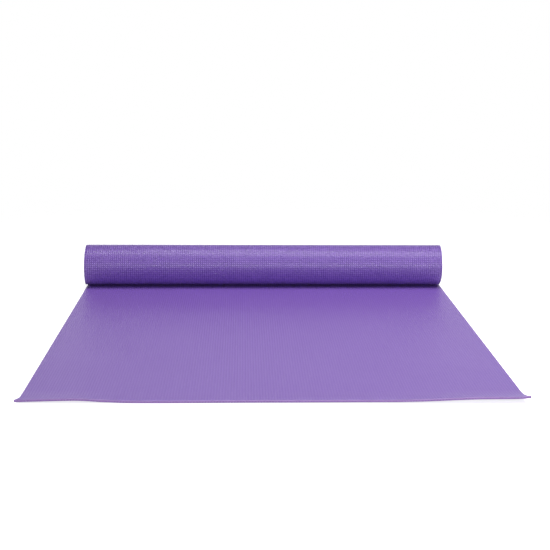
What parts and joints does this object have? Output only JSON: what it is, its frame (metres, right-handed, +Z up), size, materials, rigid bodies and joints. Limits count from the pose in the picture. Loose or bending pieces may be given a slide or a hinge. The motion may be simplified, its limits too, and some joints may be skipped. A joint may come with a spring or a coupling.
{
  "type": "yoga mat",
  "caption": "Foam yoga mat, half rolled up: a flat stretch that lies on the floor and ends in a tight spiral roll.",
  "frame": {"origin": "on the floor, under the middle of the half-rolled mat's bounding box", "axes": "+X across the mat, +Y from the free front edge towards the roll, +Z up"},
  "size_m": [0.61, 0.6914, 0.0733],
  "materials": {
    "foam": "violet closed-cell PVC foam, matt, with a fine square grid in relief",
    "net": "open polyester net, hidden inside the foam"
  },
  "bodies": {
    "main": {"foam_main": "foam", "net_main": "net"},
    "front_1": {"foam_front_1": "foam", "net_front_1": "net"},
    "front_2": {"foam_front_2": "foam", "net_front_2": "net"},
    "front_3": {"foam_front_3": "foam", "net_front_3": "net"},
    "front_4": {"foam_front_4": "foam", "net_front_4": "net"},
    "rolling_23": {"foam_rolling_23": "foam", "net_rolling_23": "net"},
    "rolling_22": {"foam_rolling_22": "foam", "net_rolling_22": "net"},
    "rolling_21": {"foam_rolling_21": "foam", "net_rolling_21": "net"},
    "rolling_20": {"foam_rolling_20": "foam", "net_rolling_20": "net"},
    "rolling_19": {"foam_rolling_19": "foam", "net_rolling_19": "net"},
    "rolling_18": {"foam_rolling_18": "foam", "net_rolling_18": "net"},
    "rolling_17": {"foam_rolling_17": "foam", "net_rolling_17": "net"},
    "rolling_16": {"foam_rolling_16": "foam", "net_rolling_16": "net"},
    "rolling_15": {"foam_rolling_15": "foam", "net_rolling_15": "net"},
    "rolling_14": {"foam_rolling_14": "foam", "net_rolling_14": "net"},
    "rolling_13": {"foam_rolling_13": "foam", "net_rolling_13": "net"},
    "rolling_12": {"foam_rolling_12": "foam", "net_rolling_12": "net"},
    "rolling_11": {"foam_rolling_11": "foam", "net_rolling_11": "net"},
    "rolling_10": {"foam_rolling_10": "foam", "net_rolling_10": "net"},
    "rolling_09": {"foam_rolling_09": "foam", "net_rolling_09": "net"},
    "rolling_08": {"foam_rolling_08": "foam", "net_rolling_08": "net"},
    "rolling_07": {"foam_rolling_07": "foam", "net_rolling_07": "net"},
    "rolling_06": {"foam_rolling_06": "foam", "net_rolling_06": "net"},
    "rolling_05": {"foam_rolling_05": "foam", "net_rolling_05": "net"},
    "rolling_04": {"foam_rolling_04": "foam", "net_rolling_04": "net"},
    "rolling_03": {"foam_rolling_03": "foam", "net_rolling_03": "net"},
    "rolling_02": {"foam_rolling_02": "foam", "net_rolling_02": "net"},
    "rolling_01": {"foam_rolling_01": "foam", "net_rolling_01": "net"},
    "roll": {"foam_roll": "foam", "net_roll": "net"}
  },
  "joints": [
    {"name": "curl_1", "type": "hinge", "parent": "main", "child": "front_1", "pos_m": [0, -0.23376, 0.0032], "axis": [-1, 0, 0], "range_deg": [0, 15]},
    {"name": "curl_2", "type": "hinge", "parent": "front_1", "child": "front_2", "pos_m": [0, -0.26176, 0.0032], "axis": [-1, 0, 0], "range_deg": [0, 15]},
    {"name": "curl_3", "type": "hinge", "parent": "front_2", "child": "front_3", "pos_m": [0, -0.28976, 0.0032], "axis": [-1, 0, 0], "range_deg": [0, 15]},
    {"name": "curl_4", "type": "hinge", "parent": "front_3", "child": "front_4", "pos_m": [0, -0.31776, 0.0032], "axis": [-1, 0, 0], "range_deg": [0, 15]},
    {"name": "roll_up_23", "type": "hinge", "parent": "main", "child": "rolling_23", "pos_m": [0, -0.16676, 0.0032], "axis": [1, 0, 0], "range_deg": [0, 30]},
    {"name": "roll_up_22", "type": "hinge", "parent": "rolling_23", "child": "rolling_22", "pos_m": [0, -0.14478, 0.0032], "axis": [1, 0, 0], "range_deg": [0, 30]},
    {"name": "roll_up_21", "type": "hinge", "parent": "rolling_22", "child": "rolling_21", "pos_m": [0, -0.12295, 0.0032], "axis": [1, 0, 0], "range_deg": [0, 30]},
    {"name": "roll_up_20", "type": "hinge", "parent": "rolling_21", "child": "rolling_20", "pos_m": [0, -0.10128, 0.0032], "axis": [1, 0, 0], "range_deg": [0, 30]},
    {"name": "roll_up_19", "type": "hinge", "parent": "rolling_20", "child": "rolling_19", "pos_m": [0, -0.07976, 0.0032], "axis": [1, 0, 0], "range_deg": [0, 30]},
    {"name": "roll_up_18", "type": "hinge", "parent": "rolling_19", "child": "rolling_18", "pos_m": [0, -0.0584, 0.0032], "axis": [1, 0, 0], "range_deg": [0, 30]},
    {"name": "roll_up_17", "type": "hinge", "parent": "rolling_18", "child": "rolling_17", "pos_m": [0, -0.0372, 0.0032], "axis": [1, 0, 0], "range_deg": [0, 30]},
    {"name": "roll_up_16", "type": "hinge", "parent": "rolling_17", "child": "rolling_16", "pos_m": [0, -0.01615, 0.0032], "axis": [1, 0, 0], "range_deg": [0, 30]},
    {"name": "roll_up_15", "type": "hinge", "parent": "rolling_16", "child": "rolling_15", "pos_m": [0, 0.00474, 0.0032], "axis": [1, 0, 0], "range_deg": [0, 30]},
    {"name": "roll_up_14", "type": "hinge", "parent": "rolling_15", "child": "rolling_14", "pos_m": [0, 0.02547, 0.0032], "axis": [1, 0, 0], "range_deg": [0, 30]},
    {"name": "roll_up_13", "type": "hinge", "parent": "rolling_14", "child": "rolling_13", "pos_m": [0, 0.04605, 0.0032], "axis": [1, 0, 0], "range_deg": [0, 30]},
    {"name": "roll_up_12", "type": "hinge", "parent": "rolling_13", "child": "rolling_12", "pos_m": [0, 0.06647, 0.0032], "axis": [1, 0, 0], "range_deg": [0, 30]},
    {"name": "roll_up_11", "type": "hinge", "parent": "rolling_12", "child": "rolling_11", "pos_m": [0, 0.08674, 0.0032], "axis": [1, 0, 0], "range_deg": [0, 30]},
    {"name": "roll_up_10", "type": "hinge", "parent": "rolling_11", "child": "rolling_10", "pos_m": [0, 0.10685, 0.0032], "axis": [1, 0, 0], "range_deg": [0, 30]},
    {"name": "roll_up_09", "type": "hinge", "parent": "rolling_10", "child": "rolling_09", "pos_m": [0, 0.1268, 0.0032], "axis": [1, 0, 0], "range_deg": [0, 30]},
    {"name": "roll_up_08", "type": "hinge", "parent": "rolling_09", "child": "rolling_08", "pos_m": [0, 0.1466, 0.0032], "axis": [1, 0, 0], "range_deg": [0, 30]},
    {"name": "roll_up_07", "type": "hinge", "parent": "rolling_08", "child": "rolling_07", "pos_m": [0, 0.16624, 0.0032], "axis": [1, 0, 0], "range_deg": [0, 30]},
    {"name": "roll_up_06", "type": "hinge", "parent": "rolling_07", "child": "rolling_06", "pos_m": [0, 0.18572, 0.0032], "axis": [1, 0, 0], "range_deg": [0, 30]},
    {"name": "roll_up_05", "type": "hinge", "parent": "rolling_06", "child": "rolling_05", "pos_m": [0, 0.20505, 0.0032], "axis": [1, 0, 0], "range_deg": [0, 30]},
    {"name": "roll_up_04", "type": "hinge", "parent": "rolling_05", "child": "rolling_04", "pos_m": [0, 0.22422, 0.0032], "axis": [1, 0, 0], "range_deg": [0, 30]},
    {"name": "roll_up_03", "type": "hinge", "parent": "rolling_04", "child": "rolling_03", "pos_m": [0, 0.24324, 0.0032], "axis": [1, 0, 0], "range_deg": [0, 30]},
    {"name": "roll_up_02", "type": "hinge", "parent": "rolling_03", "child": "rolling_02", "pos_m": [0, 0.26209, 0.0032], "axis": [1, 0, 0], "range_deg": [0, 30]},
    {"name": "roll_up_01", "type": "hinge", "parent": "rolling_02", "child": "rolling_01", "pos_m": [0, 0.2808, 0.0032], "axis": [1, 0, 0], "range_deg": [0, 30]},
    {"name": "roll_up_00", "type": "hinge", "parent": "rolling_01", "child": "roll", "pos_m": [0, 0.29934, 0.0032], "axis": [1, 0, 0], "range_deg": [0, 30]}
  ],
  "couplings": [
    {"joint": "curl_2", "follows": "curl_1", "ratio": 1},
    {"joint": "curl_3", "follows": "curl_1", "ratio": 1},
    {"joint": "curl_4", "follows": "curl_1", "ratio": 1}
  ]
}
